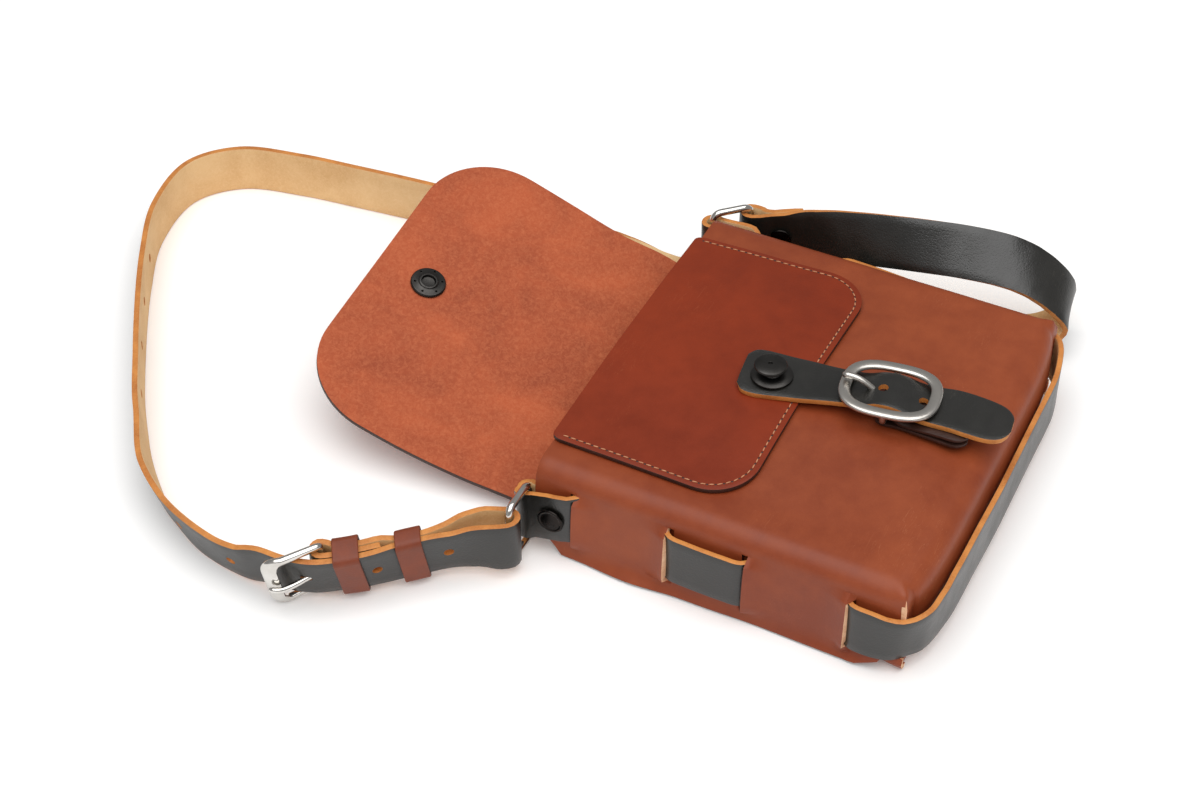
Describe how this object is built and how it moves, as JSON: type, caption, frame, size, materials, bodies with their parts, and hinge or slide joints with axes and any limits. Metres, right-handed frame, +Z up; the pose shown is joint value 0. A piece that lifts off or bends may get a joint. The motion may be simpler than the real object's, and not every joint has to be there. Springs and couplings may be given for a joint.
{
  "type": "leather cross-body bag",
  "caption": "Small cross-body bag of folded leather lying on its back with the flap open, a pocket panel, a buckled closing tab and a laced shoulder strap.",
  "frame": {"origin": "centre of the back panel's resting face, on the ground", "axes": "+Z up out of the front panel, +Y from the bottom fold toward the open flap, +X toward the side with the folded-over strap"},
  "size_m": [0.3224, 0.4413, 0.0634],
  "materials": {
    "bag_leather": "satin",
    "flap_leather": "matte",
    "pocket_leather": "satin",
    "strap_leather": "satin",
    "keeper_leather": "satin",
    "satin_nickel": "satin",
    "bright_nickel": "polished",
    "gunmetal": "satin",
    "black_metal": "gloss"
  },
  "bodies": {
    "root": {"front_shell": "bag_leather", "back_shell": "flap_leather", "front_pocket": "pocket_leather", "closing_tab": "strap_leather", "tab_buckle": "satin_nickel", "tab_buckle_prong": "satin_nickel", "buckle_chape": "bag_leather", "stud": "gunmetal", "flap_snap": "gunmetal", "harness": "strap_leather", "near_ring": "bright_nickel", "far_ring": "bright_nickel", "near_rivet": "black_metal", "far_rivet": "black_metal", "strap_rivet": "black_metal", "shoulder_strap": "strap_leather", "strap_buckle": "bright_nickel", "strap_buckle_prong": "bright_nickel", "keeper_1": "keeper_leather", "keeper_2": "keeper_leather"}
  },
  "joints": []
}
